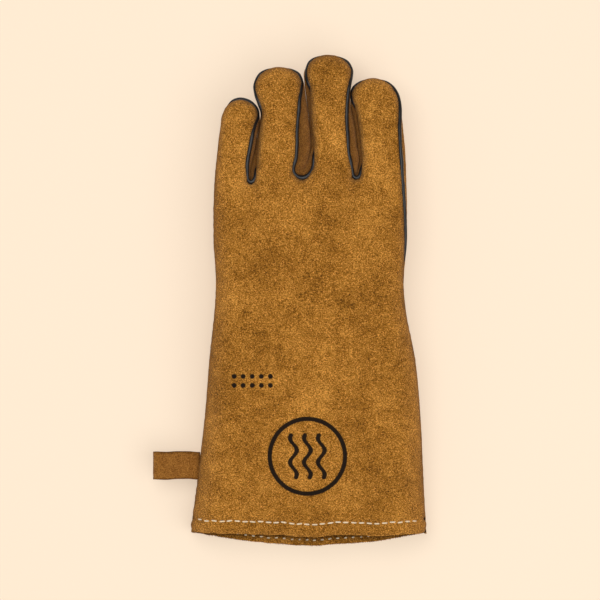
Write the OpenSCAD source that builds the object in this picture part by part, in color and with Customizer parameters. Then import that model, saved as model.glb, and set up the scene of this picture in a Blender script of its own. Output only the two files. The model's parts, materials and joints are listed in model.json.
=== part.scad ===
// Heat resistant gauntlet glove, left hand, lying palm down.
// +X points to the thumb side, +Y to the fingertips and +Z out of the back of the hand.
// The origin is on the resting plane, under the middle of the cuff's mouth.

/* [Overall] */
// Length from the cuff's mouth to the tip of the longest finger
glove_len = 355; // [300:1:420]
// Half of the width across the cuff's mouth
mouth_half = 85.5; // [75:0.5:100]
// Half of the width across the wrist
wrist_half = 67.5; // [60:0.5:75]
// Half of the width across the palm
palm_half = 69.5; // [64:0.5:75]

/* [Layers] */
// Thickness of the suede
leather = 1.4; // [1:0.1:2]
// Thickness of the quilted lining
lining = 2.6; // [1.5:0.1:4]
// Air between neighbouring layers
ease = 0.2; // [0.15:0.05:0.4]
// How far a piped seam stands proud of the suede
piping = 1.3; // [0.8:0.1:2]

/* [Heights] */
// Height of the bend line of the wrist above the resting plane
wrist_z = 38; // [34:0.5:42]
// Height of the bend line of the knuckles above the resting plane
knuckle_z = 37; // [34:0.5:42]
// Height of the side seams at the cuff's mouth
mouth_z = 17; // [12:0.5:22]
// Height of the opening at the cuff's mouth
mouth_depth = 43; // [36:0.5:50]
// Height of the palm's underside above the resting plane
palm_z = 22.4; // [21.8:0.1:26]

/* [Fingers] */
// Middle of each finger's root: index, middle, ring and little
root_x = [50.2, 14.5, -22, -53.2]; // [-60:0.1:60]
// Sideways lean of each finger, as a slope
lean = [-0.03, -0.05, 0.05, 0.1]; // [-0.15:0.01:0.15]
// Half of the width of each finger at its root
root_half = [18, 15.6, 15, 14]; // [10:0.1:20]
// Half of the width of each finger at its ball
ball_half = [16.4, 15.6, 14.8, 12.6]; // [10:0.1:20]
// Half of the depth of each finger
half_depth = [12.2, 12.2, 12, 11]; // [9:0.1:14]
// Length of each finger beyond its knuckle
finger_len = [61, 79, 70, 46.5]; // [40:0.5:90]
// Distance from each finger's knuckle to its middle joint
middle_at = [36, 42, 39, 26]; // [25:0.5:50]
// Downward droop of the resting fingers, in degrees
droop = 4; // [0:0.5:6]

/* [Thumb] */
// Place of the thumb's root across and along the palm
thumb_at = [43, 204]; // [30:0.5:210]
// Direction in which the tucked thumb points, in degrees from +X
thumb_dir = 125; // [115:1:135]
// Half of the width of the thumb
thumb_half = 15.5; // [13:0.5:17]
// Height of the thumb above the resting plane
thumb_high = 20.6; // [18:0.1:21.2]
// Length of the thumb beyond its root
thumb_len = 70; // [60:0.5:78]
// Distance from the thumb's root to its middle joint
thumb_joint = 36; // [30:0.5:42]
// Radius of the hole through which the thumb opens into the palm
thumb_hole = 10.5; // [8:0.5:11]

/* [Movement] */
// Bend of the wrist towards the palm, in degrees
wrist_flex = 45; // [0:1:50]
// Bend of the wrist towards the back, in degrees
wrist_rise = 25; // [0:1:35]
// Bend of each knuckle, in degrees
knuckle_flex = 70; // [0:1:70]
// Bend of each finger's middle joint, in degrees
finger_flex = 70; // [0:1:70]
// Bend of the thumb's middle joint, in degrees
thumb_flex = 50; // [0:1:60]
// Spare angle cut from both sides of each bend, in degrees
spare = 1; // [0.5:0.5:2]

/* [Hanging loop] */
// Width of the strap
strap_w = 20; // [15:0.5:25]
// Thickness of the strap
strap_t = 1.5; // [1:0.1:2]
// Inner radius of the fold
fold_r = 3; // [2:0.1:4]
// Length of the loop beyond the side seam
loop_len = 32; // [25:0.5:40]
// Middle of the loop along the cuff
loop_y = 58; // [45:0.5:70]

/* [Hidden] */
// The bend lines of the wrist and of the knuckles
wrist_y = 178;
knuckle_y = glove_len - finger_len[1] * cos(droop);
fingers = ["index", "middle", "ring", "little"];
parts_of = ["base", "tip"];
panels = ["back", "palm", "sidewalls", "lining", "piping"];

// Fullness of a section, below 1 for a shape squarer than an ellipse
fullness = 0.85;
// Overshoot that is cut off to leave a flat top and bottom
flatness = 1.08;
// Facets of a finger, and of the hand and cuff, in degrees
turn = 20;
wide_turn = 15;
// Angle of a finger's piped seams above and below its sides, and the gap left at each
corner = 40;
seam_gap = 1;
// Gap between the two halves of a bend
gap = 0.6;
// Length of the rounded end of a finger and of the thumb, as a share of the half width
finger_round = 0.95;
thumb_round = 0.9;

// Height of the back and of the palm over the bend lines
wrist_top = 17;
knuckle_top = 12.8;
knuckle_under = 12.6;
// Extra height in the middle of the hand
hand_swell = 2.6;
// How soon the hand reaches its full width beyond the wrist
widening = 2.2;
// Places of the sections between the ends of the hand and of the cuff
hand_shares = [0.3, 0.6];
cuff_shares = [0.27, 0.54, 0.78];

// Part of the cuff that lies flat on the resting plane
cuff_flat = 30;
// How far the back stops short of the palm side at the mouth, and where its side seams end
back_lip = 5;
side_y = 8.5;
// Distance of the hem stitching from the edge of the back
hem = 9;

// Size and place of the patch on the palm, and the cut-out beside the thumb
patch = [66, 36, 1];
patch_at = [-48, 212];
patch_notch = 14;

suede = "peru";
suede_dark = "sienna";
cord = "black";
felt = "darkkhaki";
thread = "cornsilk";

// ---- Sections and shells -------------------------------------------------------------------

function blend(a, b, t) = a + (b - a) * t;
function ease_in(t) = t * t * (3 - 2 * t);
function across(a) = sign(cos(a)) * pow(abs(cos(a)), fullness);
function upward(a) = sign(sin(a)) * min(1, flatness * pow(abs(sin(a)), fullness));

// A station is [y, half width, top depth, bottom depth, middle x, middle z,
// slope of the cut above, slope below, dome angle, dome length, bow of the edge].
function station(y, half, top, bottom, x = 0, z = 0, cut = [0, 0], dome = [0, 0], bow = 0) =
    [y, half, top, bottom, x, z, cut[0], cut[1], dome[0], dome[1], bow];

// One point of a station, at angle a and at depth inset under the outer surface.
function spot(s, a, inset) =
    let (
        narrow = cos(s[8]),
        dx = (s[1] - inset) * narrow * across(a),
        depth = (sin(a) >= 0 ? s[2] : s[3]) - inset,
        dz = depth * pow(narrow, 0.7) * upward(a),
        bent = dz > 0 ? s[6] * dz : -s[7] * dz,
        y = s[0] + (s[9] - inset) * sin(s[8]) + bent + s[10] * pow(dx / s[1], 2)
    )
    [s[4] + dx, y, s[5] + dz];

function split(q) = [[q[0], q[1], q[2]], [q[0], q[2], q[3]]];

// A sheet that follows the stations of path between two angles and two depths.
module shell(path, from, to, outer, inner, step) {
    around = to - from >= 360;
    turns = round((to - from) / step);
    cols = around ? turns : turns + 1;
    rows = len(path);
    points = [
        for (inset = [outer, inner], s = path, k = [0:cols - 1])
            spot(s, from + (to - from) * k / turns, inset)
    ];
    function at(side, r, c) = (side * rows + r) * cols + (around ? c % cols : c);
    quads = concat(
        [for (r = [0:rows - 2], c = [0:turns - 1])
            [at(0, r, c), at(0, r, c + 1), at(0, r + 1, c + 1), at(0, r + 1, c)]],
        [for (r = [0:rows - 2], c = [0:turns - 1])
            [at(1, r, c), at(1, r + 1, c), at(1, r + 1, c + 1), at(1, r, c + 1)]],
        [for (c = [0:turns - 1])
            [at(0, 0, c + 1), at(0, 0, c), at(1, 0, c), at(1, 0, c + 1)]],
        [for (c = [0:turns - 1])
            [at(0, rows - 1, c), at(0, rows - 1, c + 1), at(1, rows - 1, c + 1), at(1, rows - 1, c)]],
        around ? [] : [for (r = [0:rows - 2])
            [at(0, r, 0), at(0, r + 1, 0), at(1, r + 1, 0), at(1, r, 0)]],
        around ? [] : [for (r = [0:rows - 2])
            [at(0, r + 1, turns), at(0, r, turns), at(1, r, turns), at(1, r + 1, turns)]]
    );
    polyhedron(points, [for (q = quads) each split(q)], convexity = 6);
}

// ---- Fingers -------------------------------------------------------------------------------

function finger_station(f, y, cut = [0, 0], dome = [0, 0]) =
    station(
        y, blend(root_half[f], ball_half[f], y / finger_len[f]), half_depth[f], half_depth[f],
        lean[f] * (y + dome[1] * sin(dome[0])), 0, cut, dome
    );

function knuckle_cut() = [0, tan(knuckle_flex / 2 + droop + spare)];
function middle_cut() = [0, tan(finger_flex / 2 + spare)];

function base_path(f) = [
    finger_station(f, gap / 2, knuckle_cut()),
    finger_station(f, middle_at[f] - gap / 2, -middle_cut())
];

function tip_path(f) =
    let (dome_len = ball_half[f] * finger_round, dome_at = finger_len[f] - dome_len)
    concat(
        [finger_station(f, middle_at[f] + gap / 2, middle_cut())],
        [for (a = [0, 35, 62, 80, 88]) finger_station(f, dome_at, [0, 0], [a, dome_len])]
    );

module finger_frame(f) {
    translate([root_x[f], knuckle_y, knuckle_z]) rotate([-droop, 0, 0]) children();
}

// The little finger's back wraps round its outer side, and the index finger's palm does.
function back_to(f) = f == 3 ? 180 + corner : 180 - corner;
function palm_to(f) = f == 0 ? 360 + corner : 360 - corner;

module finger_panel(f, panel, path) {
    finger_frame(f) {
        if (panel == "back") {
            color(suede) shell(path, corner, back_to(f), 0, leather, turn);
        }
        if (panel == "palm") {
            color(suede) shell(path, 180 + corner + seam_gap, palm_to(f) - seam_gap, 0, leather, turn);
        }
        if (panel == "sidewalls") color(suede_dark) {
            reach = corner - seam_gap;
            if (f > 0) shell(path, -reach, reach, 0, leather, turn);
            if (f < 3) shell(path, 180 - reach, 180 + reach, 0, leather, turn);
        }
        if (panel == "lining") {
            color(felt) shell(path, 0, 360, leather + ease, leather + ease + lining, turn);
        }
        if (panel == "piping") color(cord) {
            shell(path, corner - 3, corner + 3, -piping, -ease / 2, 6);
            if (f < 3) shell(path, 177 - corner, 183 - corner, -piping, -ease / 2, 6);
        }
    }
}

// ---- Thumb ---------------------------------------------------------------------------------

function thumb_cut() = tan(thumb_flex / 2 + spare);

function thumb_station(y, dome = [0, 0]) =
    station(y, thumb_half, thumb_high / 2, thumb_high / 2, 0, thumb_high / 2, [0, 0], dome);

thumb_dome = thumb_half * thumb_round;

thumb_base_path = concat(
    [for (a = [88, 75, 55, 30, 0]) thumb_station(0, [-a, thumb_dome])],
    [thumb_station(thumb_joint - gap / 2)]
);

thumb_tip_path = concat(
    [thumb_station(thumb_joint + gap / 2)],
    [for (a = [0, 30, 55, 75, 88]) thumb_station(thumb_len - thumb_dome, [a, thumb_dome])]
);

// The space that the bend of the thumb's middle joint needs, on its inner side.
module thumb_notch() {
    reach = thumb_half + 1;
    translate([0, thumb_joint, -1]) linear_extrude(thumb_high + 2)
        polygon([[0, gap / 2], [0, -gap / 2], [-reach, -reach * thumb_cut()], [-reach, reach * thumb_cut()]]);
}

module thumb_frame() {
    translate([thumb_at[0], thumb_at[1], 0]) rotate([0, 0, thumb_dir - 90]) children();
}

// The hole in the upper side of the thumb's root, up into the palm.
module thumb_mouth() {
    translate([0, 0, thumb_high / 2]) cylinder(h = thumb_high, r = thumb_hole, $fn = 48);
}

// The short collar of suede between the thumb's root and the palm.
module thumb_collar() {
    translate([0, 0, thumb_high - leather]) difference() {
        cylinder(h = palm_z - ease - thumb_high + leather, r = thumb_hole + leather, $fn = 48);
        translate([0, 0, -1]) cylinder(h = palm_z, r = thumb_hole, $fn = 48);
    }
}

module thumb_upper(path, is_base) {
    color(suede) thumb_frame() {
        difference() {
            shell(path, 0, 180, 0, leather, turn);
            thumb_notch();
            if (is_base) thumb_mouth();
        }
        if (is_base) thumb_collar();
    }
}

module thumb_lower(path) {
    color(suede) thumb_frame() difference() {
        shell(path, 180, 360, 0, leather, turn);
        thumb_notch();
    }
}

module thumb_lining(path, is_base) {
    inside = leather + ease;
    color(felt) thumb_frame() difference() {
        shell(path, 0, 360, inside, inside + lining, turn);
        thumb_notch();
        if (is_base) thumb_mouth();
    }
}

// ---- Hand ----------------------------------------------------------------------------------

function wrist_cut() = [tan(wrist_rise / 2 + spare), tan(wrist_flex / 2 + spare)];

function hand_station(y, cut = [0, 0]) =
    let (
        t = (y - wrist_y) / (knuckle_y - wrist_y),
        top = blend(wrist_top, knuckle_top, t) + hand_swell * sin(180 * t),
        z = blend(wrist_z, knuckle_z, t)
    )
    station(
        y, blend(wrist_half, palm_half, min(1, widening * t)), top,
        blend(wrist_z - palm_z, knuckle_under, t * t), 0, z, cut
    );

hand_path = concat(
    [hand_station(wrist_y + gap / 2, wrist_cut())],
    [for (t = hand_shares) hand_station(blend(wrist_y, knuckle_y, t))],
    [hand_station(knuckle_y - gap / 2, -knuckle_cut())]
);

module thumb_opening() {
    translate([thumb_at[0], thumb_at[1], thumb_high]) cylinder(h = 12, r = thumb_hole, $fn = 48);
}

module hand_back() {
    color(suede) shell(hand_path, 0, 180, 0, leather, wide_turn);
}

module hand_palm() {
    color(suede) difference() {
        shell(hand_path, 180, 360, 0, leather, wide_turn);
        thumb_opening();
    }
}

module hand_lining() {
    inside = leather + ease;
    color(felt) difference() {
        shell(hand_path, 0, 360, inside, inside + lining, wide_turn);
        thumb_opening();
    }
}

// A second layer of suede sewn under the palm, beside the thumb.
module palm_patch() {
    low = palm_z - ease - patch[2];
    color(suede_dark) translate([patch_at[0], patch_at[1], low]) difference() {
        cube(patch);
        translate([patch[0], 0, -1]) cylinder(h = patch[2] + 2, r = patch_notch, $fn = 48);
    }
}

module hand_piping() {
    color(cord) shell(hand_path, 15, 18, -piping, -ease / 2, 3);
}

// ---- Cuff ----------------------------------------------------------------------------------

// Taper of the gauntlet, 1 at its mouth and 0 at the wrist.
function flare(y) = let (t = 1 - y / wrist_y) (t + sin(90 * t)) / 2;

function cuff_station(y, cut = [0, 0], bow = 0) =
    let (
        t = max(0, (y - cuff_flat) / (wrist_y - cuff_flat)),
        low = blend(0, palm_z, ease_in(t)),
        high = blend(mouth_depth, wrist_z + wrist_top, y / wrist_y),
        z = blend(mouth_z, wrist_z, t)
    )
    station(y, blend(wrist_half, mouth_half, flare(y)), high - z, z - low, 0, z, cut, [0, 0], bow);

function cuff_path(lip) = concat(
    [cuff_station(lip, [0, 0], side_y - lip), cuff_station(cuff_flat)],
    [for (t = cuff_shares) cuff_station(blend(cuff_flat, wrist_y, t))],
    [cuff_station(wrist_y - gap / 2, -wrist_cut())]
);

module cuff_back() {
    color(suede) shell(cuff_path(back_lip), 0, 180, 0, leather, wide_turn);
}

module cuff_palm() {
    color(suede) shell(cuff_path(0), 180, 360, 0, leather, wide_turn);
}

module cuff_lining() {
    inside = leather + ease;
    color(felt) shell(cuff_path(side_y + 3), 0, 360, inside, inside + lining, wide_turn);
}

module cuff_piping() {
    color(cord) shell(cuff_path(0), -18, -15, -piping, -ease / 2, 3);
}

// The line of thread that holds the hem, outside on the back and inside on the palm.
function hem_path(y) = [
    cuff_station(y, [0, 0], side_y - back_lip),
    cuff_station(y + 1.2, [0, 0], side_y - back_lip)
];

module hem_stitching() {
    color(thread) {
        shell(hem_path(back_lip + hem), wide_turn, 180 - wide_turn, -0.5, -ease / 2, wide_turn);
        shell(hem_path(2), 180 + wide_turn, 360 - wide_turn, leather + ease / 2, leather + 0.6, wide_turn);
    }
}

// ---- Hanging loop --------------------------------------------------------------------------

seam = cuff_station(loop_y);
seam_x = seam[1] + strap_t + ease;
seam_z = seam[5];

module folded_strap() {
    outer = fold_r + strap_t;
    eye = loop_len - outer;
    difference() {
        union() {
            translate([-eye, 0]) circle(r = outer, $fn = 48);
            polygon([[-eye, -outer], [0, -strap_t], [0, strap_t], [-eye, outer]]);
        }
        translate([-eye, 0]) circle(r = fold_r, $fn = 48);
        polygon([[-eye, -fold_r], [-4, -ease / 2], [-4, ease / 2], [-eye, fold_r]]);
    }
}

module hanging_loop() {
    color(suede) translate([-seam_x, loop_y + strap_w / 2, seam_z])
        rotate([90, 0, 0]) linear_extrude(strap_w) folded_strap();
}

// ---- Assembly ------------------------------------------------------------------------------

for (f = [0:3], p = panels) {
    finger_panel(f, p, base_path(f));
    finger_panel(f, p, tip_path(f));
}
thumb_upper(thumb_base_path, true);  // thumb_upper_base
thumb_upper(thumb_tip_path, false);  // thumb_upper_tip
thumb_lower(thumb_base_path);  // thumb_lower_base
thumb_lower(thumb_tip_path);  // thumb_lower_tip
thumb_lining(thumb_base_path, true);  // thumb_lining_base
thumb_lining(thumb_tip_path, false);  // thumb_lining_tip
hand_back();
hand_palm();
hand_lining();
palm_patch();
hand_piping();
cuff_back();
cuff_palm();
cuff_lining();
cuff_piping();
hem_stitching();
hanging_loop();
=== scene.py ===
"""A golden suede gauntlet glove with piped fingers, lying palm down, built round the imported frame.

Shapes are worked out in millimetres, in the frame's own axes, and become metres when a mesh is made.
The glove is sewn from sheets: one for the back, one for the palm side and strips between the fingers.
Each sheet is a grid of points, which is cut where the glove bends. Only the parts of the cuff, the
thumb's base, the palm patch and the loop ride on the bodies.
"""

import json
import math
from collections import namedtuple
from functools import reduce

import bpy
import numpy as np
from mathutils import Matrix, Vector

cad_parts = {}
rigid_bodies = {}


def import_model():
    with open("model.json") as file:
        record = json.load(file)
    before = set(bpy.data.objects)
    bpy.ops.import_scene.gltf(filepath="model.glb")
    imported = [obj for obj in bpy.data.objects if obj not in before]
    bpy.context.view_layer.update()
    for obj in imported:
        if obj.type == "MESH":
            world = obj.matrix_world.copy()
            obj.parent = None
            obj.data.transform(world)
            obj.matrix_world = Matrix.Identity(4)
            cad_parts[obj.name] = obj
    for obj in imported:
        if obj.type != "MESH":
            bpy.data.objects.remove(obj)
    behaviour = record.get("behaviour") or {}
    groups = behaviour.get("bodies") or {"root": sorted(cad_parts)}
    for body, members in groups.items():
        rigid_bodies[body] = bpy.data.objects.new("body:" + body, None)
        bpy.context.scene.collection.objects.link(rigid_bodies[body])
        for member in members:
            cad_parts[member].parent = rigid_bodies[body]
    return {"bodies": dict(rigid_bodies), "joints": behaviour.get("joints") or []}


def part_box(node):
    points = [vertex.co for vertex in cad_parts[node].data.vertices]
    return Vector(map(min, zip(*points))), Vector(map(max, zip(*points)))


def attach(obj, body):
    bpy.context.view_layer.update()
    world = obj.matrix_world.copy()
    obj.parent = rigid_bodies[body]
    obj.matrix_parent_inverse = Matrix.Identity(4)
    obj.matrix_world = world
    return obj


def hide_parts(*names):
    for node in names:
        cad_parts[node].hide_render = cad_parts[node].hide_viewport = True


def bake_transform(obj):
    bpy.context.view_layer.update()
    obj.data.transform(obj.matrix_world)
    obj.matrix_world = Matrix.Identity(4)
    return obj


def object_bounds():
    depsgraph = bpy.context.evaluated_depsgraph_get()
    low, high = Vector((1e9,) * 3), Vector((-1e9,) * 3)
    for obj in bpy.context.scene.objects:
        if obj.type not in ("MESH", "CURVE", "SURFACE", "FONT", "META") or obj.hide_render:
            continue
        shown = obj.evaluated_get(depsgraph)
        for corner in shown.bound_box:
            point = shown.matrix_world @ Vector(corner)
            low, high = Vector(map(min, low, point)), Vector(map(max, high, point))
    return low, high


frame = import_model()
cad_low, cad_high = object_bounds()

MM = 0.001
JOINTS = {j["name"]: [c / MM for c in j["pos_m"]] for j in frame["joints"]}
FINGERS = ["little", "ring", "middle", "index"]

# ---- Sizes, in millimetres ----

LEATHER = 1.4
STRIP = 1.1  # thickness of the side strips and the patch
LINING = 2.2
HAND_LINING, FINGER_LINING = LEATHER + 0.4, LEATHER + 0.6  # how deep inside the linings start
LINING_Y = 13.0  # where the lining starts in the cuff
WELT = 1.48  # radius of the welts
WRIST_Y = JOINTS["wrist_bend"][1]
JOIN_Y = 260.0  # where the sheets of the fingers start
CUFF_END = WRIST_Y - 18
WRIST_SPAN = (CUFF_END, WRIST_Y + 18)  # places round the wrist, handed to bend(), which does not bend the suede
KNUCKLE_SPAN = (264.0, 290.0)
MIDDLE_REACH = {"little": 11, "ring": 13, "middle": 13, "index": 13}  # the same round a middle joint
LANE_COLUMNS = 26  # across a finger
BACK_HEM, PALM_HEM = 8.2, -1.4  # the palm side is longer, so it shows under the back
HALF_MOUTH = 86.0
HEM_FADE = 60.0  # how far up the cuff the grid follows the wave of its hem
BACK_STITCH_Y, PALM_STITCH_Y = 9.2, 4.2  # above the edges
STITCH_PITCH = 5.6
STITCH, PATCH_STITCH = (4.2, 0.54), (4.0, 0.5)  # length and radius
FRAY = {"back": (1500, 200), "palm": (1100, 300)}  # number of loose fibres, and the seed
EMBLEM, EMBLEM_RADIUS = (-1.5, 66.0), 27.0
DOTS, DOT_PITCH = (-54.0, 117.0), 6.5
PALE = (1.0, 0.83, 0.65)  # the ground's colour far from the glove

# Relief of the suede in (height, size): padding, grain, folds at the wrist, gathers and creases
PADDING, GRAIN = [(0.95, 31), (0.5, 12)], [(0.13, 5), (0.05, 2.2)]
FOLD, FOLD_PITCH = 0.95, 13.0
GATHER, GATHER_PITCH = 0.13, 6.4
CREASE, CREASE_WIDTH = 0.3, 1.3
VALLEY, VALLEY_WIDTH = 1.5, 5.5

# A finger's side: its outline, the crotch below it, how far its seams lie over and under the middle
# height, and between which places the back rolls over it
Side = namedtuple("Side", "points crotch high low tuck")
# corner and tip: places along the glove. reach: how far in from its seams a finger's padding rounds
Finger = namedtuple("Finger", "left right corner tip reach")

# Outlines are curves through points (place along the glove, place across it).
EDGE_LEFT = [
    (-5, -87.2), (8, -86.2), (55, -80.5), (95, -75.8), (134, -72.6), (173, -68.4), (188, -67.6),
    (220, -69.2), (251, -69.2), (267, -68.4), (290, -66), (303, -64.4), (312, -62.9), (316.5, -61),
]
EDGE_RIGHT = [
    (-5, 86.4), (8, 85.4), (55, 82.6), (95, 80), (134, 76), (173, 68.9), (188, 68), (220, 70), (265, 70),
    (290, 68.8), (308, 67), (318, 65.8), (326, 63.8), (331.5, 60.4),
]
# How far the piped seam lies inside the right edge, and above the side's middle height.
RIGHT_INSET = [(-5, 0.35), (195, 0.35), (235, 2.2), (262, 3.6), (300, 3.6), (318, 1.4), (331.5, 0.3)]
RIGHT_RISE = [(-5, -2.5), (180, -2.5), (215, 1.5), (262, 8.5), (300, 8.5), (318, 5), (331.5, -0.4)]
LEFT_RISE = [(-5, -2.5), (290, -2.5), (316.5, -0.4)]

# Where two fingers part (place across, place along), and how far the seams lie over and under the
# middle height there.
CROTCHES = {"little": (-42.1, 262.9), "ring": (-5, 266.2), "middle": (33.4, 265.9)}
CROTCH_RISE = 6.5

SIDES = {
    "little": Side([
        (268, -44.8), (275, -44.9), (285, -43.4), (298, -40.9), (305, -39.4), (312, -37.2),
        (316.5, -38.3),
    ], CROTCHES["little"], 8.4, 7.2, None),
    "ring_left": Side([
        (268, -38.7), (280, -38), (290, -37.2), (300, -36), (308, -34.6), (314, -34.2), (321, -36.4),
        (328, -38.7), (335, -38.9), (340.8, -35.9),
    ], CROTCHES["little"], 5, 7.2, (268, 308)),
    "ring": Side([
        (272.2, -12), (276, -11.2), (280, -9.9), (286, -9.4), (303, -9), (313, -8), (322, -7.5),
        (329, -6.4), (335, -5.6), (340.8, -7.6),
    ], CROTCHES["ring"], 9, 7.2, None),
    "middle_left": Side([
        (278.2, 3.3), (290, 3), (300, 2.2), (312, 1.2), (324, 0.6), (331, 0.2), (338, -1.6), (344, -2),
        (349.5, -0.2),
    ], CROTCHES["ring"], 5.4, 7.2, (279, 327)),
    "middle": Side([
        (271, 30.6), (277, 29.4), (285, 27.9), (295, 27.4), (309, 26.5), (320, 27), (330, 27.9),
        (335, 29), (341, 30.3), (345.5, 30), (349.5, 27.4),
    ], CROTCHES["middle"], 8.4, 7.2, None),
    "index_left": Side([
        (271, 37.2), (277, 37.8), (290, 36.8), (304, 35.2), (312, 34), (318.5, 32.4), (323, 30.9),
        (327.5, 30.6), (331.5, 32.2),
    ], CROTCHES["middle"], 5, 7.2, (270, 313)),
}
# Lines half way between neighbouring fingers, up to which their side strips bulge.
BOUNDARIES = {
    "little": [
        (262, -42.1), (268, -42.4), (273, -42.4), (285, -39.9), (297, -37.6), (305, -36.2), (313, -35.4),
        (321, -37.9), (328, -40.2), (335, -40.2), (341, -37.4),
    ],
    "ring": [
        (265, -5), (272, -4.6), (282, -0.6), (291, 1), (301, 0.4), (313, -0.7), (324, -2.2), (335, -3.6),
        (345, -3.8), (350, -1.6),
    ],
    "middle": [
        (265, 33.4), (277, 35.8), (290, 34.2), (305, 32.4), (319, 29.9), (329, 29.6), (336, 30.6),
        (345, 31.4), (350, 28.6),
    ],
}
HANDS = {
    "little": Finger(None, SIDES["little"], 316.5, 323, 10.5),
    "ring": Finger(SIDES["ring_left"], SIDES["ring"], 340.8, 346.6, 12.5),
    "middle": Finger(SIDES["middle_left"], SIDES["middle"], 349.5, 355.5, 12.5),
    "index": Finger(SIDES["index_left"], None, 331.5, 338.5, 12.5),
}

# Heights are curves through points (place along the glove, height).
SEAM_Z = [(-5, 17), (30, 17.6), (100, 27), (178, 38), (276, 37), (355, 31.5)]
TOP_Z = [(-5, 40), (20, 42.5), (60, 47), (120, 52.4), (178, 55), (225, 55), (262, 51.4), (276, 49.4),
         (300, 47.6), (330, 45.5), (355, 43.6)]
PALM_Z = [(-5, 0), (30, 0.2), (60, 2.6), (100, 10.4), (140, 18.5), (178, 22.4), (225, 22.4), (262, 23.8),
          (276, 24.8), (300, 23.3), (330, 21.2), (355, 19.4)]
# How far in from its edge the padding of hand and cuff rounds.
ROUND = [(-5, 27), (120, 21), (178, 17), (240, 14.5), (265, 12.5), (356, 12.5)]


# ---- Curves and soft random fields ----


def smooth(t):
    t = np.clip(t, 0, 1)
    return t * t * (3 - 2 * t)


def lerp(a, b, t):
    return a + (b - a) * t


def curve(points, at):
    """A cubic through points (place, value), read at the given places."""
    places, values = np.array(points, float).T
    slopes = np.gradient(values, places)
    at = np.clip(at, places[0], places[-1])
    i = np.clip(np.searchsorted(places, at, side="right") - 1, 0, len(places) - 2)
    span = places[i + 1] - places[i]
    t = (at - places[i]) / span
    rising = t * t * (3 - 2 * t)
    bend = t * (1 - t) ** 2 * slopes[i] - t * t * (1 - t) * slopes[i + 1]
    return lerp(values[i], values[i + 1], rising) + span * bend


LATTICE = 61  # a random field repeats after so many lumps


def lumps(x, y, size, seed):
    """A soft random field between -1 and 1, with lumps of about this size."""
    values = np.random.default_rng(seed).uniform(-1, 1, (LATTICE, LATTICE))
    fx, fy = x / size + 500, y / size + 500
    ix, iy = np.floor(fx).astype(int), np.floor(fy).astype(int)
    low, high = (lerp(values[ix % LATTICE, row % LATTICE], values[(ix + 1) % LATTICE, row % LATTICE],
                      smooth(fx - ix)) for row in (iy, iy + 1))
    return lerp(low, high, smooth(fy - iy))


def rounded(share):
    """Rises from 0 to 1 like the side of a padded form."""
    power = 2.2  # 2 would make it a quarter of a circle
    return (1 - (1 - np.clip(share, 0, 1)) ** power) ** (1 / power)


def hump(distance, width):
    """1 at no distance, and near 0 beyond the width."""
    return np.exp(-((distance / width) ** 2))


def nearest(places, place):
    """Index of the place that is nearest."""
    return int(np.argmin(abs(places - place)))


def unit(vectors):
    """The same directions, each with length 1."""
    return vectors / np.maximum(np.linalg.norm(vectors, axis=-1, keepdims=True), 1e-9)


def distances_along(path):
    """How far along a path each of its points lies."""
    return np.concatenate([[0], np.cumsum(np.linalg.norm(np.diff(path, axis=0), axis=1))])


def squarish(angle, power):
    """Cosine and sine of an angle, with fuller corners for a power below 1."""
    return (np.sign(wave) * abs(wave) ** power for wave in (np.cos(angle), np.sin(angle)))


def full_turn(count):
    return np.linspace(0, 2 * math.pi, count, endpoint=False)


def spaced(*stops):
    """Places from stop to stop: spaced(a, (b, step), (c, step), ...)."""
    places = [float(stops[0])]
    for end, step in stops[1:]:
        count = max(1, round((end - places[-1]) / step))
        places += list(np.linspace(places[-1], end, count + 1)[1:])
    return np.array(places)


# ---- Outlines ----


def edge_right(y, panel):
    """The back ends inside the palm side's edge, which wraps up round the side to meet it."""
    x = curve(EDGE_RIGHT, y)
    return x - curve(RIGHT_INSET, y) if panel == "back" else x


def side_x(side, y, panel):
    """Place across the glove of a finger's seam. A quarter of an ellipse turns round the crotch."""
    first_y, first_x = side.points[0]
    crotch_x, crotch_y = side.crotch
    turn = np.clip((y - crotch_y) / (first_y - crotch_y), 0, 1)
    rounding = crotch_x + (first_x - crotch_x) * np.sqrt(1 - (1 - turn) ** 2)
    ends = curve(EDGE_LEFT, JOIN_Y), edge_right(JOIN_Y, panel)
    share = (crotch_x - ends[0]) / (ends[1] - ends[0])
    hand = lerp(curve(EDGE_LEFT, y), edge_right(y, panel), share)
    upper = np.where(y < first_y, rounding, curve(side.points, y))
    return np.where(y < JOIN_Y, hand, upper)


def lane_edges(name, y, panel):
    """Places across the glove of a finger's two seams."""
    finger = HANDS[name]
    left = side_x(finger.left, y, panel) if finger.left else curve(EDGE_LEFT, y)
    right = side_x(finger.right, y, panel) if finger.right else edge_right(y, panel)
    return left, right


def tucked(side, y):
    """From 0 to 1 where the back rolls over the side of a finger and hides its seam."""
    if side.tuck is None:
        return 0 * y
    return smooth((y - side.tuck[0]) / 9) * (1 - smooth((y - side.tuck[1]) / 9))


def side_offset(side, y, corner, panel):
    """Height of a seam over or under the middle height of the finger's side."""
    full = side.high - 3.4 * tucked(side, y) if panel == "back" else -side.low
    crotch = CROTCH_RISE if panel == "back" else -CROTCH_RISE
    taper = 1 - smooth((y - corner + 19) / 17)
    end = -0.4 if panel == "back" else -0.7
    return lerp(end, lerp(crotch, full, smooth((y - side.crotch[1]) / 12)), taper)


def right_offset(y, panel):
    """Height of the right seam over the middle height."""
    rise = curve(RIGHT_RISE, y)
    return rise if panel == "back" else np.minimum(-0.2, rise - 0.3)


def lane_offsets(name, y, panel):
    """Heights of a finger's two seams over or under the middle height."""
    finger = HANDS[name]
    left = curve(LEFT_RISE, y) - (0 if panel == "back" else 0.3)
    right = right_offset(y, panel)
    if finger.left:
        left = side_offset(finger.left, y, finger.corner, panel)
    if finger.right:
        right = side_offset(finger.right, y, finger.corner, panel)
    return left, right


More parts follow.
